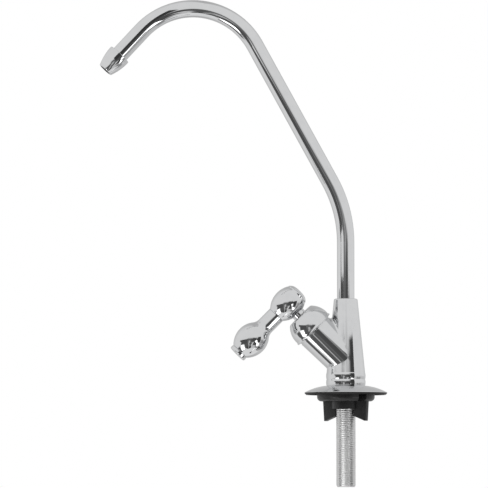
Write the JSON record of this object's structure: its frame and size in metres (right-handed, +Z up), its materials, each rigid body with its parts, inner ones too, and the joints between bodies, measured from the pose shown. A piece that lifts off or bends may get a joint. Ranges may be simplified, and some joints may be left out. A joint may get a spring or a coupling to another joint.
{
  "type": "drinking water faucet",
  "caption": "Deck-mounted drinking water faucet: gooseneck swivel spout, quarter-turn lever on an angled valve branch, domed plate, threaded shank with a wing nut.",
  "frame": {"origin": "on the shank's axis, at the deck's surface under the dress plate's rim", "axes": "+Z up along the column and the shank, -X towards the spout's outlet, -Y to the side the lever turns to when it opens"},
  "size_m": [0.165, 0.0474, 0.2797],
  "materials": {
    "chrome": "polished chrome plating",
    "nickel": "dull nickel plating on brass",
    "brass": "turned brass",
    "steel": "bright stainless",
    "rubber": "black rubber",
    "ceramic": "lapped alumina",
    "black_plastic": "satin moulded plastic"
  },
  "bodies": {
    "fixed": {"body": "chrome", "bonnet": "chrome", "escutcheon": "chrome", "deck_gasket": "rubber", "shank": "nickel", "shank_seal": "rubber", "seat_seal": "rubber", "ceramic_disc_fixed": "ceramic", "cartridge_body": "brass", "cartridge_o_ring": "rubber"},
    "handle": {"handle_hub": "chrome", "handle_lever": "chrome", "hub_cap": "chrome", "grub_screw": "steel", "spindle": "brass", "spindle_o_ring": "rubber", "spindle_clip": "steel", "ceramic_disc_moving": "ceramic"},
    "spout": {"spout_tube": "chrome", "nozzle_tip": "chrome", "spout_foot": "brass", "spout_o_ring_lower": "rubber", "spout_o_ring_upper": "rubber", "spout_clip": "steel"},
    "nut": {"wing_nut": "black_plastic"}
  },
  "joints": [
    {"name": "handle_turn", "type": "hinge", "parent": "fixed", "child": "handle", "pos_m": [-0.0333, 0, 0.05235], "axis": [-0.7071, 0, 0.7071], "range_deg": [0, 90]},
    {"name": "spout_swivel", "type": "hinge", "parent": "fixed", "child": "spout", "pos_m": [0, 0, 0.0551], "axis": [0, 0, 1], "continuous": true},
    {"name": "wing_nut_travel", "type": "slide", "parent": "fixed", "child": "nut", "axis": [0, 0, -1], "range_m": [0, 0.036]}
  ]
}
